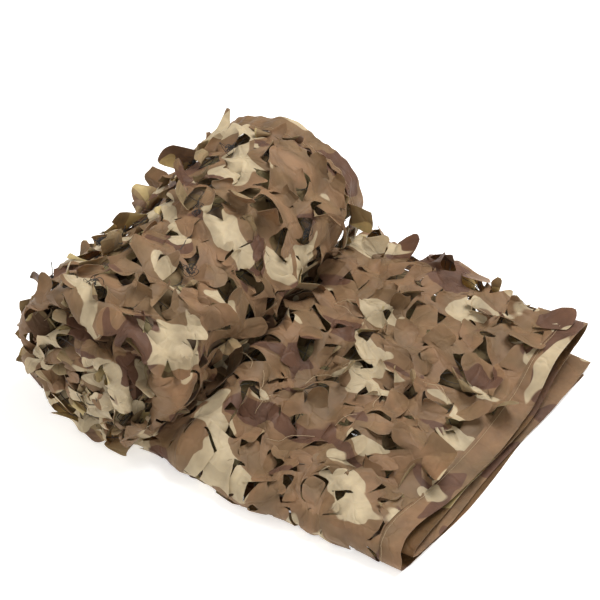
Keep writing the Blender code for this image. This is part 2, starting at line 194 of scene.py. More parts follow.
def roll_radius(angle, y):
    """The wound form's radius: a circle, a slow ripple, and one bell for each lump."""
    radius = ROLL_RADIUS + RIPPLE * np.sin(angle * 3.0 + y * 21.0) * np.cos(y * 34.0 + angle)
    for lump in ROLL_LUMPS:
        turned = (np.degrees(angle) - lump.angle + 180.0) % 360.0 - 180.0
        radius = radius + lump.height * np.exp(
            -((turned / lump.spread_angle) ** 2) - ((y - lump.y) / lump.spread_y) ** 2
        )
    return radius


def round_roll(share, y, depth):
    """A place on the outer turn: share of the way from the foot over the roll to the floor, and depth below
    it.

    The outline's two ends are drawn onto the foot and onto the floor.
    """
    angle = FOOT_ANGLE + (FLOOR_ANGLE - FOOT_ANGLE) * share
    radius = roll_radius(angle, y) - depth
    x, z = radius * np.cos(angle), ROLL_RADIUS + radius * np.sin(angle)
    blend = 1.0 / ROUND_CELLS
    to_foot = np.clip(1.0 - share / blend, 0.0, 1.0)
    to_floor = np.clip(1.0 - (1.0 - share) / blend, 0.0, 1.0)
    x = x + (FOOT_X - 0.6 * depth - x) * to_foot + (FLOOR_X + depth - x) * to_floor
    z = z + (FOOT_HEIGHT + 0.5 * depth - z) * to_foot + (depth - z) * to_floor
    return np.stack((x, y, z), -1)


def fold_line(q, before, radius):
    """A path that runs straight for a length, turns back round a half circle, and runs straight again.

    Gives how far it has gone along, and how far it has come across, 0 to twice the radius.
    """
    turned = np.clip((q - before) / radius, 0.0, math.pi)
    after = np.maximum(q - before - math.pi * radius, 0.0)
    return np.minimum(q, before) + radius * np.sin(turned) - after, radius * (1 - np.cos(turned))


def outer_turn(p, q):
    """Layer 1 of the outer turn, from its bound edge at +Y, round the wide fold at the near end and back
    inside."""
    along, across = fold_line(q, ROLL_CLOTH_Y - ROLL_NEAR_Y - 0.004, OUTER_FOLD)
    y = ROLL_CLOTH_Y - along
    hollow = HOLLOW * np.exp(-(((p - 0.042) / 0.025) ** 2) - ((y + 0.09) / 0.13) ** 2)
    return round_roll(p / ROUND_LENGTH, y, across + hollow)


def lower_layer(depth):
    """A layer of the outer turn at a depth under it, which shows its inner side outwards."""

    def place(p, q):
        return round_roll((LAYERS_FROM + p) / ROUND_LENGTH, ROLL_CLOTH_Y + UNDER_BAND - q, depth + 0 * q)

    return place


# The spiral of the inner turns, counted from where the strip leaves the floor and rises round the left side
FIRST_TURN, LAST_TURN = 0.75, 4.2
START_DEPTH = 0.004  # how far under the outer turn the spiral starts
TURNS = np.linspace(FIRST_TURN, LAST_TURN, 400)
SPIRAL_RADIUS = ROLL_RADIUS - START_DEPTH - TURN_PITCH * TURNS
SPIRAL_LENGTH = np.concatenate(
    ([0.0], np.cumsum(2 * math.pi * (SPIRAL_RADIUS[1:] + SPIRAL_RADIUS[:-1]) / 2 * np.diff(TURNS)))
)


def inner_turns(length, y, depth):
    """A place on the inner turns: a spiral that goes in by the turn pitch each time round, scaled to the
    wound form."""
    turn = np.interp(length, SPIRAL_LENGTH, TURNS)
    angle = FLOOR_ANGLE - 2 * math.pi * turn
    share = 1.0 - (START_DEPTH + TURN_PITCH * turn + depth) / ROLL_RADIUS
    radius = roll_radius(angle, y) * share
    hub_drop = 0.006 * (1 - share)
    return np.stack((radius * np.cos(angle), y, ROLL_RADIUS - hub_drop + radius * np.sin(angle)), -1)


def end_bulge(length):
    """How far the near end stands out over its rim: a quarter of an ellipse, highest at the hub."""
    turn = np.interp(length, SPIRAL_LENGTH, TURNS)
    share = np.clip(1.0 - TURN_PITCH * turn / ROLL_RADIUS, 0.0, 1.0)
    return END_BULGE * np.sqrt(1 - share**2)


END_DISORDER, END_PUSH = Crumple(77, 0.085), 0.014
NEAR_RUN = 0.085  # how far into the roll the cloth of the inner turns is built
FAR_RUN = 0.055


def near_turns(p, q):
    """The wide folds of the inner turns at the near end, pushed in, out and to the side in large facets."""
    along, across = fold_line(q, NEAR_RUN, WIDE_FOLD)
    start = ROLL_NEAR_Y + NEAR_RUN - 0.004
    length = SPIRAL_LENGTH[-1] - p
    push, shift = END_DISORDER.at(p, q)
    place = inner_turns(length, start - along - end_bulge(length), across + 0.010 * shift[..., 0])
    place[..., 1] -= END_PUSH * push * ease(0.0, 0.06, q) * ease(0.0, 0.06, 2 * NEAR_RUN - q)
    place[..., 0] += 0.012 * shift[..., 1]
    return place


def near_inner_turns(p, q):
    """The narrow folds inside the wide ones."""
    along, across = fold_line(q, NEAR_RUN - 0.02, NARROW_FOLD)
    start, length = ROLL_NEAR_Y + NEAR_RUN - 0.014, SPIRAL_LENGTH[-1] - p
    return inner_turns(length, start - along - end_bulge(length), 0.006 + across)


def far_turns(p, q):
    """The narrow folds of layers 3 and 4 at the far end."""
    along, across = fold_line(q, FAR_RUN, FAR_FOLD)
    return inner_turns(p, ROLL_FAR_Y - FAR_RUN - 0.010 + along, 0.008 + across)


def section_line():
    """The folded section as a smooth line: its rows joined by straight lines, sampled every millimetre, and
    each sample replaced by the mean of those within 4 mm."""
    rows = np.array(SECTION, float)
    steps = np.linalg.norm(np.diff(rows[:, :2], axis=0), axis=1)
    distance = np.concatenate(([0.0], np.cumsum(steps)))
    samples = np.arange(0.0, distance[-1], 0.001)
    line = np.stack([np.interp(samples, distance, rows[:, k]) for k in range(4)], -1)
    padded = np.pad(line, ((4, 4), (0, 0)), mode="edge")
    kernel = np.ones(9) / 9
    smoothed = np.stack([np.convolve(padded[:, k], kernel, mode="valid") for k in range(4)], -1)
    smoothed[0], smoothed[-1] = line[0], line[-1]
    return samples, smoothed


SECTION_AT, SECTION_LINE = section_line()
SECTION_LENGTH = SECTION_AT[-1]


def tail_swell(x, y):
    """How far the top layer stands over its height beside the roll: more past the roll and towards +Y, and
    most in a ridge that runs beside the roll."""
    past_roll = ease(0.014, 0.062, x - FOOT_X)
    ridge = RIDGE * np.exp(-(((x - 0.150) / 0.030) ** 2) - ((y + 0.07) / 0.09) ** 2)
    lift = LEAST_SWELL + MORE_SWELL * (0.5 + y / STRIP_WIDTH) + ridge
    waves = 0.0035 * np.sin(31.0 * x + 17.0 * y) + 0.003 * np.sin(23.0 * y - 44.0 * x + 1.3)
    return past_roll * (lift + waves)


def end_sag(x, y):
    """1 in the middle of the tail's end, where its layers lie low, and 0 at its corners and away from the
    end."""
    middle = ease(-0.22, -0.12, y) * ease(0.17, 0.09, y)
    return middle * ease(TAIL_CLOTH_X - 0.07, TAIL_END_X, x)


def folded(q, x):
    """The tail's folded section at a distance q along it and x along the tail."""
    y, z, follows, back = (np.interp(q, SECTION_AT, SECTION_LINE[:, k]) for k in range(4))
    along = (x - FOOT_X) / (TAIL_END_X - FOOT_X)
    to_near = 0.5 - y / STRIP_WIDTH
    drawn = (END_DRAWN * to_near**2 + back) * along
    bowed = NEAR_BOW * np.maximum(0.0, to_near) ** 4 * np.sin(math.pi * np.clip(along, 0, 1))
    pressed = 1.0 - 0.35 * ease(FOOT_X + 0.01, FOOT_X - 0.04, x)
    ruffled = 0.004 * np.sin(19.0 * y + 150.0 * z) * np.clip(along, 0, 1) ** 4
    sag = end_sag(x, y)
    height = z * pressed * (1 - 0.42 * sag) + follows * tail_swell(x, y) * (1 - 0.72 * sag)
    return np.stack((x - drawn - ruffled, y - bowed, height), -1)


def tail_place(p, q):
    """The tail's cloth, p along the tail from where the strip lies down under the roll, q from the binding of
    layer 1."""
    return folded(q + BINDING, FLOOR_X + p)


# The cloth


def creased(surface, creases, height):
    """The surface with its creases. How high they stand is one number, or a function of p and q."""

    def shaped(p, q):
        rise, shift = creases.at(p, q)
        high = height(p, q) if callable(height) else height
        p2, q2 = p + shift[..., 0] * high, q + shift[..., 1] * high
        return surface(p2, q2) + outward(surface, p2, q2) * (rise * high)[..., None]

    return shaped


CREASE_ANGLE = 22  # degrees between two faces, over which the edge between them is a crease


def placed(name, data):
    """A new object of the scene."""
    thing = bpy.data.objects.new(name, data)
    bpy.context.scene.collection.objects.link(thing)
    return thing


def quads(*corners):
    """Faces from the arrays of their four corners."""
    return np.stack(corners, -1).reshape(-1, 4)


def mesh_object(name, points, faces, flat, materials):
    mesh = bpy.data.meshes.new(name)
    mesh.from_pydata(points, [], faces)
    for material in materials:
        mesh.materials.append(material)
    layer = mesh.uv_layers.new(name="UVMap")
    layer.data.foreach_set("uv", flat[faces.ravel()].astype(np.float32).ravel())
    mesh.polygons.foreach_set("use_smooth", np.ones(len(faces), bool))
    mesh.update()
    mesh.set_sharp_from_angle(angle=math.radians(CREASE_ANGLE))
    return placed(name, mesh)


def thicken(thing, thickness):
    solid = thing.modifiers.new("thickness", "SOLIDIFY")
    solid.thickness = thickness
    solid.offset = 0.0
    solid.material_offset = 1
    solid.material_offset_rim = 2
    normals = thing.modifiers.new("flat_sides", "WEIGHTED_NORMAL")
    normals.keep_sharp = True
    return thing


def finished(piece, nodes=()):
    """Attaches a piece to the root body, and hides the nodes of model.glb that it stands for."""
    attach(piece, "root")
    if nodes:
        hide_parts(*nodes)
    return piece


SIDE_STEPS = 8  # border places on one side of a cell
RIM_STEPS = 4 * SIDE_STEPS
ROOT_STEPS = 9  # of the rim's places, how many a leaf's root spans
WEB_RINGS = np.array((0.0, 0.34, 0.67, 1.0))
LEAF_ROWS = 8

# How the leaves of one cloth are cut and stand. hole is the hole's radius as a share of the cell's half
# pitch. slack is how much larger the cloth is than the surface it lies on, which the leaves keep. lift, least
# and curl are in degrees, and twist turns a leaf about its own length. pairs is the share of holes with two
# leaves, and rolled that of leaves whose end rolls over.
Cut = namedtuple(
    "Cut", "hole slack lift spread least curl_low curl_high twist pairs rolled", defaults=(0.12,)
)


def cell_border():
    """The walk round a cell, anticlockwise from its lowest corner, in steps of its sides."""
    rising, low, high = np.arange(SIDE_STEPS), np.zeros(SIDE_STEPS, int), np.full(SIDE_STEPS, SIDE_STEPS)
    falling = SIDE_STEPS - rising
    sides = (rising, low), (high, rising), (falling, high), (low, falling)
    return np.concatenate([np.stack(side, -1) for side in sides])


def along_rim(rims, at):
    """Places on closed outlines, one row of them for each outline, at a number of steps from their first
    corner."""
    low = np.floor(at).astype(int)
    part = (at - low)[..., None]
    row = np.arange(len(rims)).reshape(-1, *([1] * (at.ndim - 1)))
    return rims[row, low % RIM_STEPS] * (1 - part) + rims[row, (low + 1) % RIM_STEPS] * part


def cut_cloth(
    name, surface, size, cells, cut, seed, cloths, print_at, nodes=(),
    lift_at=None, follow_at=None, over=0.0,
):
    """A sheet of cut cloth laid on a surface and attached to the root body.

    Flat, it is a grid of cells on a wavy lattice. Each cell is a web between its border and the rim of a
    hole, which is a superellipse turned at random. The leaves are what was cut out of the hole: one that
    fills it, or two that meet in an S-shaped slit. On the surface the web is drawn together, so the leaves,
    which keep their size, reach over the cloth round their hole. A leaf leaves its root along an arc that
    lifts, curls and twists. lift_at gives the share of that which is left at a place, and follow_at the share
    by which a leaf lies on the surface instead. With over above 0, the leaves of the last row point past the
    cloth's end and are that much longer. The leaves keep the slack flat and the web doesn't, so the flat size
    is the surface's times the mean of the two.
    """
    rng = np.random.default_rng(seed)
    count = cells[0] * cells[1]
    pitch = np.array(size) / np.array(cells)
    corner = np.meshgrid(np.arange(cells[0]), np.arange(cells[1]), indexing="ij")
    corner = np.stack(corner, -1).reshape(-1, 1, 2)
    lattice = corner * SIDE_STEPS + cell_border()
    key, border_index = np.unique(
        lattice[..., 0] * (cells[1] * SIDE_STEPS + 1) + lattice[..., 1], return_inverse=True
    )
    border_index = border_index.reshape(count, RIM_STEPS)
    place = lattice / SIDE_STEPS * pitch
    from_side = np.minimum(place, np.array(size) - place) / (0.5 * pitch)
    inside = np.prod(np.clip(from_side, 0, 1), axis=-1, keepdims=True)
    p, q = place[..., 0], place[..., 1]
    wobble = np.stack(
        (
            np.sin(q * 61.0 + seed) + 0.6 * np.sin(p * 37.0 + q * 23.0 + 2.0 * seed),
            np.sin(p * 57.0 + 1.7 * seed) + 0.6 * np.sin(q * 41.0 - p * 19.0 + seed),
        ),
        -1,
    )
    border = place + 0.13 * pitch * wobble * inside
    centre = border.mean(axis=1, keepdims=True)
    away = border - centre
    reach = np.linalg.norm(away, axis=-1)
    heading = away / reach[..., None]
    turned = np.arctan2(heading[..., 1], heading[..., 0]) - rng.uniform(-math.pi, math.pi, (count, 1))
    stretch, power = rng.uniform(1.02, 1.36, (count, 1)), rng.uniform(4.0, 14.0, (count, 1))
    outline = np.abs(np.cos(turned) / stretch) ** power + np.abs(np.sin(turned) * stretch) ** power
    radius = cut.hole * pitch.mean() / 2 * rng.uniform(0.88, 1.08, (count, 1)) * outline ** (-1 / power)
    radius = np.minimum(radius, 0.90 * reach)
    rim = centre + heading * radius[..., None]
    web = border[:, :, None] + (rim - border)[:, :, None] * WEB_RINGS[:, None]

    border_flat = np.zeros((len(key), 2))
    border_flat[border_index] = border
    inner_flat = web[:, :, 1:].reshape(-1, 2)
    flat = np.concatenate((border_flat, inner_flat))
    index = np.empty((count, RIM_STEPS, len(WEB_RINGS)), int)
    index[:, :, 0] = border_index
    index[:, :, 1:] = len(key) + np.arange(len(inner_flat)).reshape(count, RIM_STEPS, -1)
    after = np.roll(index, -1, axis=1)
    faces = [quads(index[:, :, :-1], after[:, :, :-1], after[:, :, 1:], index[:, :, 1:])]
    points = surface(flat[:, 0], flat[:, 1])

    # The leaves: which cell, where their root starts on the rim, and how far round it their two sides run
    pair = rng.random(count) < cut.pairs
    at_end = (corner[:, 0, 0] == cells[0] - 1) & (over > 0)
    long_end = np.where(at_end, np.argmin(heading[..., 0], axis=1), np.argmax(np.cos(turned), axis=1))
    start = long_end - ROOT_STEPS // 2 + rng.integers(-3, 4, count)
    cell = np.concatenate((np.arange(count), np.nonzero(pair)[0]))
    start = np.concatenate((start, start[pair] + RIM_STEPS // 2))
    share_out = rng.uniform(0.38, 0.62, count)
    run = np.where(pair, share_out * (RIM_STEPS / 2 - ROOT_STEPS), 0.80 * (RIM_STEPS - ROOT_STEPS) / 2)
    run = np.concatenate((run, (1 - share_out[pair]) * (RIM_STEPS / 2 - ROOT_STEPS)))
    paired = np.concatenate((pair, np.ones(pair.sum(), bool)))[:, None, None]
    leaves = len(cell)

    def draw(low, high):
        return rng.uniform(low, high, (leaves, 1, 1))

    # The same leaf flat: rows between its two sides, in its own lengths along (x) and across (y)
    share = np.linspace(0, 1, LEAF_ROWS + 1)[1:][None, :, None]
    s = np.linspace(-1, 1, ROOT_STEPS + 1)
    low_side = along_rim(rim[cell], start[:, None] - run[:, None] * share[..., 0])
    high_side = along_rim(rim[cell], start[:, None] + ROOT_STEPS + run[:, None] * share[..., 0])
    rows = low_side[:, :, None] * ((1 - s) / 2)[:, None] + high_side[:, :, None] * ((1 + s) / 2)[:, None]
    root = index[cell[:, None], (start[:, None] + np.arange(ROOT_STEPS + 1)) % RIM_STEPS, -1]
    root_flat, root_points = flat[root], points[root]
    middle = (root_flat[:, :1] + root_flat[:, -1:]) / 2
    side = unit(root_flat[:, -1:] - root_flat[:, :1])
    inward = np.stack((-side[..., 1], side[..., 0]), -1)
    half_root = np.linalg.norm(root_flat[:, -1:] - root_flat[:, :1], axis=-1, keepdims=True) / 2
    x = ((rows - middle[:, :, None]) * inward[:, :, None]).sum(-1)
    y = ((rows - middle[:, :, None]) * side[:, :, None]).sum(-1)
    width = np.abs(y[:, -1:, -1:] - y[:, -1:, :1]) / 2
    slit = draw(-0.30, 0.30) * width * np.sin(math.pi * s * 0.8)
    slit = slit + draw(-0.45, 0.45) * width * s
    rounding = draw(0.0, 0.22) * width * np.abs(s) ** 5
    x = x + np.where(paired, slit, (1 - s**2) * 0.0022) * share**2 - np.where(paired, rounding, 0) * share**3
    y = y * (1 + draw(-0.34, 0.06) * share) * (1 + draw(-0.12, 0.06) * np.sin(math.pi * share)) * 0.97
    leaf_flat = middle[:, :, None] + inward[:, :, None] * x[..., None] + side[:, :, None] * y[..., None]
    settle = (1 - share) ** 3
    straight_flat = middle + side * s[:, None] * half_root
    bowed_root = ((root_flat - straight_flat) * inward).sum(-1)[:, None]
    leaf_flat = leaf_flat + inward[:, :, None] * (bowed_root * settle)[..., None]
    slack = 1 + (cut.slack - 1 + over * at_end[cell, None, None]) * np.minimum(share * 2.5, 1)
    x, y = x * slack, y * slack

    # And on the surface
    facing = outward(surface, middle[..., 0], middle[..., 1])
    middle3 = (root_points[:, :1] + root_points[:, -1:]) / 2
    side3 = unit(root_points[:, -1:] - root_points[:, :1])
    inward3 = unit(np.cross(facing, side3))
    facing = np.cross(side3, inward3)
    raised = cut.lift + cut.spread * rng.normal(0, 1, (leaves, 1, 1))
    curl = draw(cut.curl_low, cut.curl_high) + draw(50.0, 120.0) * (draw(0.0, 1.0) < cut.rolled)
    curl = np.where(raised > 0, np.maximum(curl, -0.6 * raised), curl)
    if lift_at is not None:
        allowed = lift_at(middle[..., 0], middle[..., 1])[..., None]
        raised, curl = raised * allowed, curl * allowed
    least = np.where(raised < -0.5 * cut.least, -1, 1) * cut.least
    raised = np.where(np.abs(raised) < cut.least, least, raised)
    kink = draw(-75.0, 60.0) * (draw(0.0, 1.0) < 0.28) * (share > draw(0.3, 0.7))
    lean = np.radians(raised * np.minimum(share * 5, 1) + curl * share**2 + kink)
    mean_x = x.mean(-1, keepdims=True)
    step = np.diff(np.concatenate((np.zeros((leaves, 1, 1)), mean_x), axis=1), axis=1)
    inward3, facing, side3 = inward3[:, :, None], facing[:, :, None], side3[:, :, None]
    along = turned_to(inward3, facing, lean[..., None])
    centreline = middle3[:, :, None] + np.cumsum(along * step[..., None], axis=1)
    over_leaf = turned_to(facing, -inward3, lean[..., None])
    twist = np.radians(draw(-cut.twist, cut.twist)) * share
    across = turned_to(side3, over_leaf, twist[..., None])
    ridge = draw(-0.60, 0.60) * np.abs(y - draw(-0.5, 0.5) * width)
    bowed = np.where(draw(0.0, 1.0) < 0.5, ridge * np.minimum(share * 3, 1), draw(-8.0, 12.0) * y**2 * share)
    leaf = centreline + along * (x - mean_x)[..., None] + across * y[..., None]
    leaf = leaf + over_leaf * bowed[..., None]
    straight3 = middle3 + side3[:, 0] * s[:, None] * half_root
    leaf = leaf + (root_points - straight3)[:, None] * settle[..., None]

    if follow_at is not None:
        leaf_p, leaf_q = leaf_flat[..., 0], leaf_flat[..., 1]
        inside_q = np.clip(leaf_q, 0.0, size[1])
        over_cloth = (0.0012 + 0.002 * share)[..., None]
        laid = surface(leaf_p, inside_q) + outward(surface, leaf_p, inside_q) * over_cloth
        follow = follow_at(middle[..., 0], middle[..., 1])[:, :, None, None]
        leaf = leaf * (1 - follow) + laid * follow

    leaf_index = len(flat) + np.arange(leaves * LEAF_ROWS * (ROOT_STEPS + 1)).reshape(leaves, LEAF_ROWS, -1)
    leaf_index = np.concatenate((root[:, None], leaf_index), axis=1)
    low, high = leaf_index[:, :-1], leaf_index[:, 1:]
    faces.append(quads(low[..., :-1], low[..., 1:], high[..., 1:], high[..., :-1]))
    flat = np.concatenate((flat, leaf_flat.reshape(-1, 2)))
    points = np.concatenate((points, leaf.reshape(-1, 3)))
    thing = mesh_object(name, settled(points), np.concatenate(faces), flat * cut.slack + print_at, cloths)
    length, width = ((1 + cut.slack) / 2 * side for side in size)
    finished(thicken(thing, CLOTH), nodes)


def band(name, surface, length, q_range, steps, materials, thickness, print_at):
    """A plain strip of cloth laid on a surface, for a length of it and between two q values."""
    sides = np.linspace(0.0, length, steps[0] + 1), np.linspace(*q_range, steps[1] + 1)
    p, q = np.meshgrid(*sides, indexing="ij")
    points = settled(surface(p, q).reshape(-1, 3))
    flat = np.stack((p, q), -1).reshape(-1, 2) + print_at
    index = np.arange(p.size).reshape(p.shape)
    faces = quads(index[:-1, :-1], index[1:, :-1], index[1:, 1:], index[:-1, 1:])
    return thicken(mesh_object(name, points, faces, flat, materials), thickness)


def tubes(name, paths, normals, radius, material, sides=CORD_SIDES):
    """Cords along many paths at once: a polygon round each place, between the surface's normal and the way
    across."""
    lines, places = paths.shape[:2]
    ahead = unit(np.gradient(paths, axis=1))
    across = unit(np.cross(ahead, normals))
    up = np.cross(across, ahead)
    angle = np.arange(sides) * 2 * math.pi / sides
    around = turned_to(across[:, :, None], up[:, :, None], angle[:, None])
    points = (paths[:, :, None] + around * radius).reshape(-1, 3)
    points[:, 2] = np.maximum(points[:, 2], LEAST_CORD_HEIGHT)
    index = np.arange(lines * places * sides).reshape(lines, places, sides)
    turned = np.roll(index, -1, axis=2)
    faces = quads(index[:, :-1], turned[:, :-1], turned[:, 1:], index[:, 1:])
    fan = np.stack([np.array((0, k, k + 1, k + 2)) for k in range(1, sides - 1, 2)])
    ends = np.concatenate((index[:, 0][:, fan[:, ::-1]].reshape(-1, 4), index[:, -1][:, fan].reshape(-1, 4)))
    steps = np.linalg.norm(np.diff(paths, axis=1), axis=-1)
    length = np.concatenate((np.zeros((lines, 1)), np.cumsum(steps, axis=1)), axis=1)
    flat = np.stack(np.broadcast_arrays(length[..., None], angle * radius), -1).reshape(-1, 2)
    return mesh_object(name, points, np.concatenate((faces, ends)), flat, (material,))


def laid_cords(name, surface, p, q, height, radius, material):
    """Cords along rows of places on a surface, at a height over it, attached to the root body."""
    out = outward(surface, p, q)
    finished(tubes(name, surface(p, q) + out * height[..., None], out, radius, material))


def string_mesh(name, surface, size, depth, seed):
    """The square mesh of thin string that the cloth is sewn to, under the surface by a depth. Each string
    swings to its sides by two sines."""
    rng = np.random.default_rng(seed)
    for axis in (0, 1):
        lines = int(size[1 - axis] / STRING_PITCH)
        run = np.linspace(0.0, size[axis], int(size[axis] / 0.009) + 1)
        at = (np.arange(lines) + 0.5) * size[1 - axis] / lines
        phase = rng.uniform(0, 2 * math.pi, (lines, 2, 1))
        swing = 0.005 * np.sin(run * 55.0 + phase[:, 0]) + 0.003 * np.sin(run * 117.0 + phase[:, 1])
        along, across = np.broadcast_to(run, swing.shape), at[:, None] + swing
        p, q = (along, across) if axis == 0 else (across, along)
        sag = depth + 0.0025 * np.sin(run * 80.0 + phase[:, 1])
        laid_cords(f"{name}_{axis + 1}", surface, p, q, -sag, STRING_RADIUS, string_finish)


# Materials


class Nodes:
    """Adds shader nodes and joins them up in one call each. An input is named with _ for a space, or by its
    number after a _, and takes a number, a colour or another node's output."""

    def __init__(self, name):
        self.material = bpy.data.materials.new(name)
        self.material.use_nodes = True
        self.tree = self.material.node_tree
        self.shader = self.tree.nodes["Principled BSDF"]

    def feed(self, node, **inputs):
        for key, value in inputs.items():
            key = key.replace("_", " ").strip()
            socket = node.inputs[int(key)] if key.isdigit() else node.inputs[key]
            if isinstance(value, bpy.types.NodeSocket):
                self.tree.links.new(value, socket)
            else:
                socket.default_value = value

    def add(self, kind, output=0, settings=None, **inputs):
        """A new node's output."""
        node = self.tree.nodes.new(kind)
        for key, value in (settings or {}).items():
            setattr(node, key, value)
        self.feed(node, **inputs)
        return node.outputs[output]

    def flat(self):
        return self.add("ShaderNodeUVMap", settings={"uv_map": "UVMap"})

    def maths(self, operation, first, second):
        return self.add("ShaderNodeMath", settings={"operation": operation}, _0=first, _1=second)

    def blend(self, share, first, second, kind="MIX"):
        settings = {"data_type": "RGBA", "blend_type": kind}
        return self.add("ShaderNodeMix", 2, settings, _0=share, _6=first, _7=second)

    def noise(self, vector, scale, detail=2.0, roughness=0.5, output="Fac"):
        inputs = dict(Vector=vector, Scale=scale, Detail=detail, Roughness=roughness)
        return self.add("ShaderNodeTexNoise", output, **inputs)

    def bent(self, vector, scale, detail, amount):
        """The vector moved along both its ways by a noise's colour times an amount."""
        colour = self.noise(vector, scale, detail, output="Color")
        settings = {"operation": "MULTIPLY_ADD"}
        return self.add("ShaderNodeVectorMath", 0, settings, _0=colour, _1=(amount, amount, 0.0), _2=vector)

    def wave(self, vector, scale, direction):
        settings = {"wave_type": "BANDS", "bands_direction": direction}
        return self.add("ShaderNodeTexWave", "Fac", settings, Vector=vector, Scale=scale)

    def ramp(self, value, low, high, start=0.0, end=1.0, **settings):
        """start where the value is low or less, end where it is high or more, and between them in between."""
        ends = dict(From_Min=low, From_Max=high, To_Min=start, To_Max=end)
        return self.add("ShaderNodeMapRange", 0, settings, Value=value, **ends)

    def step(self, value, at, width):
        """0 below the value at, and 1 above it, over a short width."""
        return self.ramp(value, at - width, at + width)


Print = namedtuple("Print", "base sand plum")
FACE = Print(base=(0.200, 0.115, 0.060), sand=(0.405, 0.325, 0.210), plum=(0.105, 0.052, 0.031))
BACK = Print(base=(0.242, 0.168, 0.088), sand=(0.388, 0.306, 0.150), plum=(0.140, 0.086, 0.054))
EDGE = Print(base=(0.26, 0.17, 0.10), sand=(0.44, 0.36, 0.22), plum=(0.18, 0.10, 0.07))
# Painted shade: the print darkened for the inner layers that lie in shadow, and for the edge bands' backs
SHADED = Print(base=(0.128, 0.063, 0.022), sand=(0.270, 0.200, 0.085), plum=(0.090, 0.043, 0.022))
# Partly the inner side's own colour and partly painted shade: a dimmer print for the layers under the outer
# turn and inside the tail
UNDERSIDE_IN_SHADE = Print(base=(0.202, 0.133, 0.062), sand=(0.300, 0.238, 0.116), plum=(0.160, 0.106, 0.066))
# Painted shade: the print near black, for the innermost layer and the dark core that stand for the shadow
# deep in the roll
DEEP_SHADE = Print(base=(0.058, 0.027, 0.009), sand=(0.105, 0.072, 0.028), plum=(0.042, 0.020, 0.009))

PRINT_EDGE = 0.004  # how soft the patches' edges are, as a difference of the noise
PLUM_LEVEL = 0.600
OLIVE = (0.84, 0.90, 0.88)  # the base colour's second tone, as a share of it
FADING = (0.70, 1.22)  # the darkest and the palest, as shares of the colour
THREADS = 420.0  # how fine the weave is


def camouflage(name, colours, roughness=0.55, sand_level=0.582):
    """Cloth printed in three colours. The patches are slow noise, stretched along the strip, bent by a second
    noise and cut off at one level each. Over them lie a little fading, a fine weave and creases."""
    nodes = Nodes(name)
    flat = nodes.flat()
    stretched = nodes.add("ShaderNodeMapping", Vector=flat, Scale=(1.0, 1.75, 1.0), Rotation=(0, 0, 0.5))
    bent = nodes.bent(stretched, 14.0, 1.0, 0.075)
    moved = nodes.add("ShaderNodeMapping", Vector=bent, Location=(3.7, 1.9, 0.4))
    sand = nodes.step(nodes.noise(bent, 8.5, 1.2, 0.45), sand_level, PRINT_EDGE)
    plum = nodes.step(nodes.noise(moved, 9.5, 1.2, 0.45), PLUM_LEVEL, PRINT_EDGE)
    tone = nodes.step(nodes.noise(moved, 13.0, 2.0), 0.5, 0.10)
    olive = tuple(c * k for c, k in zip(colours.base, OLIVE))
    colour = nodes.blend(plum, nodes.blend(tone, (*colours.base, 1), (*olive, 1)), (*colours.plum, 1))
    colour = nodes.blend(sand, colour, (*colours.sand, 1))
    fade = nodes.ramp(nodes.noise(flat, 24.0, 3.0, 0.6), 0.3, 0.7, *FADING)
    level = nodes.add("ShaderNodeCombineColor", Red=fade, Green=fade, Blue=fade)
    crinkle = nodes.noise(flat, 130.0, 4.0, 0.55)
    weave = nodes.maths("ADD", nodes.wave(flat, THREADS, "X"), nodes.wave(flat, THREADS, "Y"))
    facets = nodes.add(
        "ShaderNodeTexVoronoi", "Distance", {"feature": "DISTANCE_TO_EDGE"},
        Vector=nodes.bent(flat, 40.0, 2.0, 0.02), Scale=26.0,
    )
    creases = nodes.ramp(facets, 0.0, 0.09, 0.0, 0.9, interpolation_type="SMOOTHSTEP")
    relief = nodes.maths("ADD", nodes.maths("ADD", crinkle, nodes.maths("MULTIPLY", weave, 0.04)), creases)
    nodes.feed(
        nodes.shader,
        Base_Color=nodes.blend(1.0, colour, level, "MULTIPLY"),
        Normal=nodes.add("ShaderNodeBump", Height=relief, Strength=0.45, Distance=0.0016),
        Roughness=nodes.ramp(crinkle, 0.0, 1.0, roughness - 0.06, roughness + 0.08),
        Sheen_Weight=0.03, Sheen_Roughness=0.4, Specular_IOR_Level=0.22,
        Subsurface_Weight=0.35, Subsurface_Radius=(1.0, 0.8, 0.6), Subsurface_Scale=0.002,
    )
    return nodes.material


def cord_finish(name, colour, twists):
    """Twisted cord: slanting bands along it, a little fading, and a rough surface."""
    nodes = Nodes(name)
    flat = nodes.flat()
    bands = nodes.wave(flat, twists, "DIAGONAL")
    share = nodes.maths("MULTIPLY", bands, nodes.noise(flat, 60.0))
    pale = tuple(min(1.0, c * 2.2) for c in colour)
    nodes.feed(
        nodes.shader,
        Base_Color=nodes.blend(share, (*colour, 1), (*pale, 1)),
        Normal=nodes.add("ShaderNodeBump", Height=bands, Strength=0.5, Distance=0.0004),
        Roughness=0.7,
    )
    return nodes.material


# Each group is a cloth's face, its back and its cut edge
cloth_face = camouflage("printed_cloth_face", FACE, sand_level=0.570)
cloth_back = camouflage("printed_cloth_back", BACK, roughness=0.62)
cloth_edge = camouflage("cut_edge", EDGE, roughness=0.7)
CLOTHS = (cloth_face, cloth_back, cloth_edge)
# The inner layers' cloth, darkened as painted shade
cloth_shaded = camouflage("inner_cloth_painted_shade", SHADED, roughness=0.65)
# The innermost cloth, near black as painted shade
cloth_deep_shade = camouflage("innermost_cloth_painted_shade", DEEP_SHADE, roughness=0.75)
SHADED_INNER_CLOTHS = (cloth_shaded, cloth_shaded, cloth_edge)
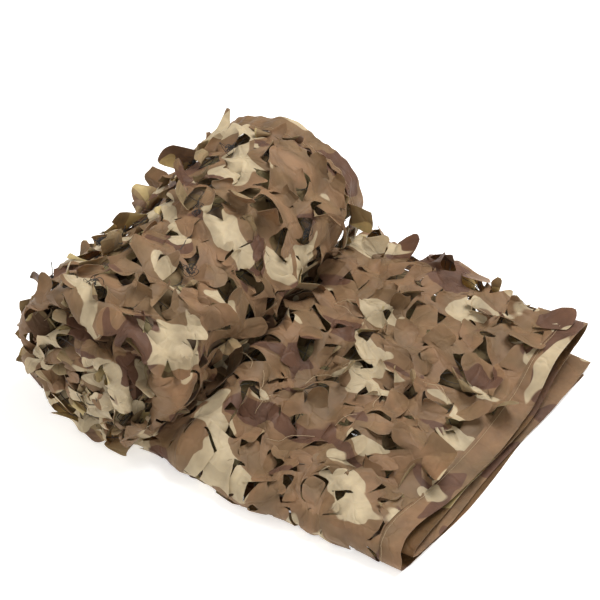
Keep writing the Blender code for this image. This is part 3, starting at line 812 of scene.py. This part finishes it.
# The lower layers' cloth, dimmed: partly their inner side's own colour and partly painted shade
cloth_underside_in_shade = camouflage("underside_cloth_painted_shade", UNDERSIDE_IN_SHADE, roughness=0.62)
UNDERSIDE_IN_SHADE_CLOTHS = (cloth_underside_in_shade, cloth_underside_in_shade, cloth_edge)
cloth_end = camouflage("near_end_cloth", FACE, sand_level=0.500)
END_CLOTHS = (cloth_end, cloth_back, cloth_edge)
cloth_tail = camouflage("tail_cloth_face", FACE, sand_level=0.588)
TAIL_CLOTHS = (cloth_tail, cloth_back, cloth_edge)
cloth_band = camouflage("edge_band_cloth", FACE, roughness=0.6, sand_level=0.605)
# The bands' backs take the inner cloth's print, darkened as painted shade
BAND_CLOTHS = (cloth_band, cloth_shaded, cloth_band)
DEEP_SHADE_CLOTHS = (cloth_deep_shade, cloth_deep_shade, cloth_deep_shade)
thread_finish = cord_finish("sewing_thread", (0.30, 0.22, 0.13), 900.0)
string_finish = cord_finish("mesh_string", (0.035, 0.030, 0.024), 300.0)
black_finish = cord_finish("black_twisted_cord", (0.012, 0.012, 0.013), 500.0)


# The roll

ROLL_ACROSS = ROLL_CLOTH_Y - ROLL_NEAR_Y + math.pi * OUTER_FOLD + 0.062
roll_cut = Cut(
    hole=0.86, slack=1.20, lift=26, spread=27, least=9, curl_low=-30, curl_high=35, twist=20, pairs=0.6
)


def roll_crumple_height(p, q):
    """Creases stand low at the foot, at the floor and along the binding."""
    low = ease(0.0, 0.05, p) * ease(0.0, 0.06, ROUND_LENGTH - p)
    return (0.0012 + 0.0150 * low) * ease(0.0, 0.03, q)


def roll_lift(p, q):
    """Leaves stand highest over the top's far side, and lie low at the foot, at the floor and on the wide
    fold."""
    standing = 1.0 + 0.9 * np.exp(-((p / ROUND_LENGTH - 0.66) / 0.16) ** 2)
    low_near = ease(0.70, 0.90, p / ROUND_LENGTH) * ease(0.36, 0.43, q)
    standing = standing * (1 - 0.6 * low_near)
    return (0.25 + 0.75 * ease(0.0, 0.07, p) * ease(0.0, 0.08, ROUND_LENGTH - p)) * standing


cut_cloth(
    "roll_outer_cloth", creased(outer_turn, Crumple(5, 0.052, 0.030, inward=0.35), roll_crumple_height),
    (ROUND_LENGTH, ROLL_ACROSS), (14, 12), roll_cut, 21, CLOTHS, (2.8, 4.4),
    ["roll"], lift_at=roll_lift,
)

UNDER_LENGTH = ROUND_LENGTH - LAYERS_FROM
SECOND_ACROSS, FOURTH_ACROSS = 0.480, 0.440


def under_lift(p, q):
    """The leaves of the lower layers lie flat under the edge band and at the foot."""
    return 0.45 * ease(0.01, 0.07, q) * ease(0.0, 0.05, p)


under_cut = Cut(
    hole=0.62, slack=1.12, lift=6, spread=12, least=4, curl_low=-10, curl_high=20, twist=20, pairs=0.5
)
# The second layer takes the dimmer cloth, partly painted shade
cut_cloth(
    "roll_second_cloth", creased(lower_layer(SECOND_DEPTH), Crumple(6, 0.045), 0.0035),
    (UNDER_LENGTH, SECOND_ACROSS), (11, 9), under_cut, 22, UNDERSIDE_IN_SHADE_CLOTHS, (1.3, 0.6),
    [], lift_at=under_lift,
)
# The fourth layer takes the near-black cloth, as painted shade
cut_cloth(
    "roll_fourth_cloth", creased(lower_layer(FOURTH_DEPTH), Crumple(7, 0.05), 0.0030),
    (UNDER_LENGTH, FOURTH_ACROSS), (8, 6), under_cut._replace(hole=0.5, lift=3, spread=4), 23, DEEP_SHADE_CLOTHS,
    (2.3, 1.6), [], lift_at=under_lift,
)

near_cut = Cut(
    hole=0.84, slack=1.22, lift=34, spread=30, least=9, curl_low=-40, curl_high=45, twist=25, pairs=0.55
)
NEAR_ACROSS = 2 * NEAR_RUN + math.pi * WIDE_FOLD
NEAR_INNER_ACROSS = 2 * (NEAR_RUN - 0.02) + math.pi * NARROW_FOLD
FAR_ACROSS = 2 * FAR_RUN + math.pi * FAR_FOLD


def near_lift(p, q):
    """The leaves of the outermost turns lie flatter near the floor."""
    turn = np.interp(SPIRAL_LENGTH[-1] - p, SPIRAL_LENGTH, TURNS)
    low = 0.5 - 0.5 * np.sin(FLOOR_ANGLE - 2 * math.pi * turn)
    return 1 - 0.75 * ease(0.3, 0.8, low) * ease(2.2, 1.2, turn)


cut_cloth(
    "near_end_folds", creased(near_turns, Crumple(8, 0.045, 0.028), 0.0080),
    (SPIRAL_LENGTH[-1], NEAR_ACROSS), (26, 5), near_cut, 24, END_CLOTHS, (3.3, 5.9),
    [], lift_at=near_lift,
)
# The inner folds at the near end take the inner cloth, darkened as painted shade
cut_cloth(
    "near_end_inner_folds", creased(near_inner_turns, Crumple(9, 0.045), 0.0040),
    (SPIRAL_LENGTH[-1], NEAR_INNER_ACROSS), (20, 2), under_cut, 25, SHADED_INNER_CLOTHS, (3.4, 2.9),
    [],
)
cut_cloth(
    "far_end_folds", creased(far_turns, Crumple(10, 0.045, 0.028), 0.0045),
    (SPIRAL_LENGTH[-1], FAR_ACROSS), (22, 2), near_cut._replace(lift=10, spread=16), 26, CLOTHS, (5.1, 0.9),
    [],
)

CORE_LENGTH = ROLL_CLOTH_Y - ROLL_NEAR_Y - 0.05


def core_place(p, q):
    """The inner turns, as one drum inside the layers that show, near black as painted shade: p once round, q
    from the near to the far end."""
    y = ROLL_NEAR_Y + 0.03 + q
    angle = 2 * math.pi * p
    radius = roll_radius(angle, y) - 0.037
    end = np.minimum(ease(-0.001, 0.03, q), ease(-0.001, 0.03, CORE_LENGTH - q))
    radius = radius * (0.05 + 0.95 * end)
    return np.stack((radius * np.cos(angle), y + 0 * p, ROLL_RADIUS + radius * np.sin(angle)), -1)


core = band("roll_core", core_place, 1.0, (0.0, CORE_LENGTH), (96, 40), DEEP_SHADE_CLOTHS, 0.001, (4.0, 4.0))
finished(core)
ROLL_STRING_ACROSS, NEAR_STRING_ACROSS = 0.44, 0.19
string_mesh("roll_string", outer_turn, (ROUND_LENGTH, ROLL_STRING_ACROSS), 0.004, 41)
string_mesh("near_end_string", near_turns, (SPIRAL_LENGTH[-1], NEAR_STRING_ACROSS), 0.003, 42)


# The tail: the side that shows is the wide fold, the top layer and the fold at the far side

TAIL_LENGTH = TAIL_CLOTH_X - FLOOR_X
TAIL_ACROSS = SECTION_LENGTH - 2 * BINDING
TOP_FROM, TOP_TO = 0.405, 1.000
tail_cut = Cut(
    hole=0.86, slack=1.18, lift=15, spread=18, least=5, curl_low=-14, curl_high=28, twist=18, pairs=0.55,
    rolled=0.15,
)


def tail_open(p, q):
    """1 on the side that shows, and small on the hidden layers and under the roll."""
    beside_roll = 0.1 + 0.9 * ease(-0.02, 0.02, p - (FOOT_X - FLOOR_X))
    shows = ease(TOP_FROM, TOP_FROM + 0.06, q) * ease(0.0, 0.05, TOP_TO - q)
    return 0.12 + 0.88 * beside_roll * shows


def on_fold(p, q):
    """1 where the cloth turns round a fold, so a leaf follows it."""
    return 1 - ease(TOP_FROM + 0.05, TOP_FROM + 0.09, q) * ease(0.02, 0.05, TOP_TO - q)


def tail_crumple_height(p, q):
    """Creases stand highest on the side that shows, and low beside the roll and at the bound end."""
    near_roll = 0.15 + 0.85 * ease(0.0, 0.06, p - (FOOT_X - FLOOR_X))
    at_end = 0.10 + 0.90 * ease(0.0, 0.06, TAIL_LENGTH - p)
    return 0.0175 * tail_open(p, q) * near_roll * at_end


def starting(function, start):
    """The same function of p and q, with q counted from a start."""
    return lambda p, q: function(p, q + start)


tail_surface = creased(tail_place, Crumple(12, 0.068, 0.040, inward=0.8), tail_crumple_height)
# The tail's hidden lower layer takes the inner cloth darkened as painted shade, and its inner layer the
# dimmer cloth that is partly painted shade
for name, start, end, cells, seed, cloths, over in (
    ("tail_lower_cloth", 0.0, TOP_FROM, (8, 6), 31, SHADED_INNER_CLOTHS, 0.0),
    ("tail_top_cloth", TOP_FROM, TOP_TO, (11, 13), 32, TAIL_CLOTHS, 0.35),
    ("tail_inner_cloth", TOP_TO, TAIL_ACROSS, (8, 13), 33, UNDERSIDE_IN_SHADE_CLOTHS, 0.0),
):
    cut_cloth(
        name, starting(tail_surface, start), (TAIL_LENGTH, end - start), cells, tail_cut, seed, cloths,
        (8.6, 2.1 + tail_cut.slack * start), ["tail"],
        lift_at=starting(tail_open, start), follow_at=starting(on_fold, start), over=over,
    )
tail_top_place = starting(tail_surface, TOP_FROM)
string_mesh("tail_string", tail_top_place, (TAIL_LENGTH, TOP_TO - TOP_FROM), 0.005, 43)

LOOSE_THREADS = 15


def loose_threads():
    """Ends of pale sewing thread on the tail: each bends by a sine and stands a little off the cloth."""
    rng = np.random.default_rng(71)
    t = np.linspace(0.0, 1.0, 13)[None]
    places = (0.15, TAIL_LENGTH - 0.03), (0.08, TOP_TO - TOP_FROM - 0.08)
    ranges = (*places, (0, 2 * math.pi), (0.025, 0.060), (0.6, 1.5))
    p0, q0, heading, length, bends = (rng.uniform(low, high, (LOOSE_THREADS, 1)) for low, high in ranges)
    bend = 0.07 * length * np.sin(math.pi * t * bends)
    p = p0 + length * t * np.cos(heading) - bend * np.sin(heading)
    q = q0 + length * t * np.sin(heading) + bend * np.cos(heading)
    arch = 0.003 + 0.006 * np.sin(math.pi * t)
    name = "tail_loose_threads"
    laid_cords(name, tail_top_place, p, q, arch, THREAD_RADIUS, thread_finish)


loose_threads()


# The bindings

STITCH, SEAM_AT = 0.005, 0.0035  # a stitch's length, and how far the seam runs from the cloth's edge


def binding(
    name, surface, length, steps, cloths, print_at, nodes=(),
    under=0.0, width=BINDING, flipped=False,
):
    """A band of tape, attached to the root body. under is how far it starts under the cloth's edge, and
    flipped turns the face of a surface that faces inwards."""
    thing = band(name, surface, length, (-under, width), steps, cloths, BAND_CLOTH, print_at)
    if flipped:
        thing.data.flip_normals()
    finished(thing, nodes)


def stitches(name, surface, length):
    """A thread that runs along a seam and goes in and out of the cloth in a sine, once a stitch."""
    run = np.linspace(0.002, length - 0.002, int(length / (STITCH / 4)))[None]
    height = -0.0009 + 0.0005 * np.sin(run * 2 * math.pi / STITCH)
    seam = np.full_like(run, SEAM_AT)
    laid_cords(name, surface, run, seam, height, SEAM_RADIUS, thread_finish)


BAND_CRUMPLE = Crumple(51, 0.050, 0.022)


def puckered(surface, height):
    """A band's surface with puckers across it, deepest at its seam, and slow facets."""

    def shaped(p, q):
        rise, shift = BAND_CRUMPLE.at(p, q)
        pucker = 0.25 * np.sin(p * 260.0 + 4.0 * np.sin(p * 31.0)) * (1.0 - 0.6 * np.clip(q / BINDING, 0, 1))
        return surface(p, q) + outward(surface, p, q) * ((rise + pucker) * height)[..., None]

    return shaped


def end_band_flat(p, q):
    """The end's binding, p along the folded section and q from the cloth to the end."""
    return folded(p, TAIL_CLOTH_X + q)


end_band_place = puckered(end_band_flat, 0.0022)
binding(
    "end_band", end_band_place, SECTION_LENGTH, (800, 10), BAND_CLOTHS, (9.0, 0.2), ["end_binding"],
    under=0.001, flipped=True,
)
stitches("end_band_stitches", end_band_place, SECTION_LENGTH)


def side_band_place(start):
    """A strip of the folded section from a start, p along the tail and q along the section."""
    return lambda p, q: folded(start + q, FLOOR_X + p)


binding(
    "lower_edge_band", side_band_place(0.0), TAIL_LENGTH, (90, 6), CLOTHS, (11.0, 0.2), ["side_binding_lower"]
)
binding(
    "inner_edge_band", side_band_place(SECTION_LENGTH - BINDING), TAIL_LENGTH, (90, 6), CLOTHS, (12.0, 0.2),
    ["side_binding_inner"],
)


def roll_band_flat(p, q):
    """The bound edge of the outer turn, loose in places."""
    loose = (0.004 * np.sin(p * 21.0 + 1.0) + 0.003 * np.sin(p * 53.0)) * q / BINDING
    return round_roll(p / ROUND_LENGTH, ROLL_CLOTH_Y + q, -loose)


roll_band_place = puckered(roll_band_flat, -0.0075)
binding(
    "roll_edge_band", roll_band_place, ROUND_LENGTH, (260, 10), BAND_CLOTHS, (13.8, 1.1), ["roll_binding"],
    under=0.003, flipped=True,
)
stitches("roll_band_stitches", roll_band_place, ROUND_LENGTH)

FLAP_AT = 0.222  # how far round the roll from its foot


def band_flap_place(p, q):
    """A corner of the bound edge that has turned up at the top of the far end."""
    p, edge = FLAP_AT + p, BINDING - 0.010
    out = outward(roll_band_flat, p, edge + 0.4 * q)
    return roll_band_flat(p, edge + 0.50 * q) + out * (0.002 + 0.85 * q)[..., None]


binding(
    "roll_band_flap", band_flap_place, 0.055, (10, 6), CLOTHS, (13.4, 1.2), [],
    width=0.030, flipped=True,
)


def inner_edge_place(depth, reach):
    """The bound edge of the inner turns, at a depth in them and out to a reach, with slow waves."""

    def place(p, q):
        wave = 0.003 * np.sin(p * 26.0 + 40 * depth) * q / BINDING
        return inner_turns(p, reach - BINDING + q, depth + wave)

    return place


for number, (depth, reach) in enumerate(((0.001, ROLL_FAR_Y - 0.004), (0.006, ROLL_FAR_Y + 0.002)), 1):
    binding(
        f"wound_edge_band_{number}", inner_edge_place(depth, reach), SPIRAL_LENGTH[-1], (260, 6), CLOTHS,
        (14.0 + number, 0.2), [],
    )


# The ties

Tie = namedtuple("Tie", "name a b turned free")
TIES = (
    Tie(name="tie_1", a=12, b=2, turned=35, free=0.030),
    Tie(name="tie_2", a=10, b=4, turned=-50, free=0.026),
    Tie(name="tie_3", a=12, b=12, turned=80, free=0.028),
)
TIE_CORD = 0.0016


def tie_frame(tie):
    """The knot's place and the ways that the cord and the cloth run there, as in the part's source."""
    p = np.array(tie.a / (2 * ROUND_CELLS))
    y = np.array(ROLL_NEAR_Y + (ROLL_CLOTH_Y - ROLL_NEAR_Y) * tie.b / (2 * ALONG_CELLS))
    here = round_roll(p, y, 0.0)
    along = unit(round_roll(p, y + 0.004, 0.0) - round_roll(p, y - 0.004, 0.0))
    up_round = unit(round_roll(p + 0.01, y, 0.0) - round_roll(p - 0.01, y, 0.0))
    facing = unit(np.cross(along, up_round))
    across = np.cross(facing, along)
    turned = math.radians(tie.turned)
    return here, facing, along * math.cos(turned) + across * math.sin(turned)


def knot_loops(name, here, facing, way, seed, loops=9, height=0.005, stem=False):
    """A knot with the thread tangled round it: closed loops, each a circle drawn long and bent by a sine,
    turned about the way out of the cloth and tipped at random. With a stem, the first loop stands up from the
    mesh of string."""
    rng = np.random.default_rng(seed)
    t = np.linspace(0.0, 2 * math.pi, 33)[None]
    ranges = ((3, 11), (0, 1.2), (0, 6.3), (0, 6.3))
    size, tip, turn, phase = (rng.uniform(low, high, (loops, 1)) for low, high in ranges)
    if stem:
        size[0], tip[0] = 15.0, 1.4
    size = size * 0.001
    u, v = size * np.cos(t), 0.55 * size * np.sin(t + 0.5 * np.sin(t + phase))
    w = v * np.sin(tip) + 0.25 * size * np.sin(2 * t + phase)
    v = v * np.cos(tip)
    side = np.cross(facing, way)
    a, b = turned_to(u, -v, turn), turned_to(v, u, turn)
    centre = 0.004 * np.concatenate((np.cos(phase), np.sin(phase)), -1)
    places = (
        here + (a + centre[:, :1])[..., None] * way + (b + centre[:, 1:])[..., None] * side
        + (height + w)[..., None] * facing
    )
    out = np.broadcast_to(unit(facing + 0.3 * way), places.shape)
    return finished(tubes(name, places, out, KNOT_RADIUS, black_finish))


for seed, tie in enumerate(TIES, 61):
    here, facing, way = tie_frame(tie)
    knot = knot_loops(f"{tie.name}_knot", here, facing, way, seed)
    t = np.linspace(-1, 1, 41)[:, None]
    height = 0.0031 + tie.free * np.where(t < 0, 0.55, 0.80) * np.abs(t) ** 1.7
    bend = np.cross(facing, way) * tie.free * 0.16 * np.sin(math.pi * t * 1.3)
    path = here + way * t * tie.free * 0.95 + facing * height + bend
    facings = np.broadcast_to(facing, (1, *path.shape))
    cord = tubes(f"{tie.name}_cord", path[None], facings, TIE_CORD / 2, black_finish, sides=8)
    finished(cord, [tie.name])

# Loops of thread that have come up through the cloth
Tangle = namedtuple("Tangle", "angle y")
TANGLES = (
    Tangle(angle=126, y=-0.120),
    Tangle(angle=101, y=-0.216),
    Tangle(angle=62, y=-0.108),
    Tangle(angle=86, y=-0.004),
    Tangle(angle=103, y=0.130),
    Tangle(angle=26, y=0.098),
)
for number, tangle in enumerate(TANGLES, 1):
    share = (math.radians(tangle.angle) - FOOT_ANGLE) / (FLOOR_ANGLE - FOOT_ANGLE)
    p, q = np.array(share * ROUND_LENGTH), np.array(ROLL_CLOTH_Y - tangle.y)
    facing = outward(outer_turn, p, q)
    way = unit(outer_turn(p + 0.002, q) - outer_turn(p, q))
    knot_loops(f"roll_tangle_{number}", outer_turn(p, q), facing, way, 80 + number, 7, 0.014, True)


# Floor, light and camera

FLOOR_REACH = 30


def floor():
    mesh = bpy.data.meshes.new("floor")
    corners = [(x * FLOOR_REACH, y * FLOOR_REACH, 0) for x, y in ((-1, -1), (1, -1), (1, 1), (-1, 1))]
    mesh.from_pydata(corners, [], [(0, 1, 2, 3)])
    nodes = Nodes("pale_floor")
    nodes.feed(
        nodes.shader, Base_Color=(0.92, 0.92, 0.92, 1), Roughness=0.8, Emission_Color=(1, 1, 1, 1),
        Emission_Strength=0.44,
    )
    mesh.materials.append(nodes.material)
    placed("floor", mesh)


def area_light(name, place, aim, size, power):
    lamp = bpy.data.lights.new(name, "AREA")
    lamp.shape, lamp.size, lamp.size_y, lamp.energy = "RECTANGLE", size[0], size[1], power
    thing = placed(name, lamp)
    thing.location = place
    thing.rotation_euler = (Vector(place) - Vector(aim)).to_track_quat("Z", "Y").to_euler()


def studio():
    world = bpy.data.worlds.new("studio")
    world.use_nodes = True
    background = world.node_tree.nodes["Background"]
    background.inputs["Color"].default_value = (1.0, 0.955, 0.865, 1)
    background.inputs["Strength"].default_value = 0.49
    bpy.context.scene.world = world
    bpy.context.scene.view_settings.view_transform = "Standard"
    area_light("softbox_above", (0.7, 1.0, 2.6), (0.15, 0.0, 0.1), (1.3, 1.3), 84)
    area_light("softbox_front", (0.9, -2.0, 1.5), (0.15, 0.0, 0.1), (1.4, 1.0), 12)
    area_light("softbox_left", (-1.7, -0.9, 1.6), (0.0, 0.0, 0.1), (0.9, 0.9), 12)


CAMERA_AZIMUTH, CAMERA_ELEVATION, CAMERA_DISTANCE = 32.3, 43.5, 3.284
CAMERA_AIM = np.array((0.107, 0.106, 0.03))
PIXELS_PER_RADIAN, PICTURE_WIDTH, SENSOR = 2200.0, 600, 36.0


def camera():
    data = bpy.data.cameras.new("camera")
    data.sensor_width = SENSOR
    data.lens = SENSOR * PIXELS_PER_RADIAN / PICTURE_WIDTH
    thing = placed("camera", data)
    a, e = math.radians(CAMERA_AZIMUTH), math.radians(CAMERA_ELEVATION)
    back = np.array((math.sin(a) * math.cos(e), -math.cos(a) * math.cos(e), math.sin(e)))
    thing.location = CAMERA_AIM + back * CAMERA_DISTANCE
    thing.rotation_euler = (math.pi / 2 - e, 0.0, a)
    bpy.context.scene.camera = thing


floor()
studio()
camera()
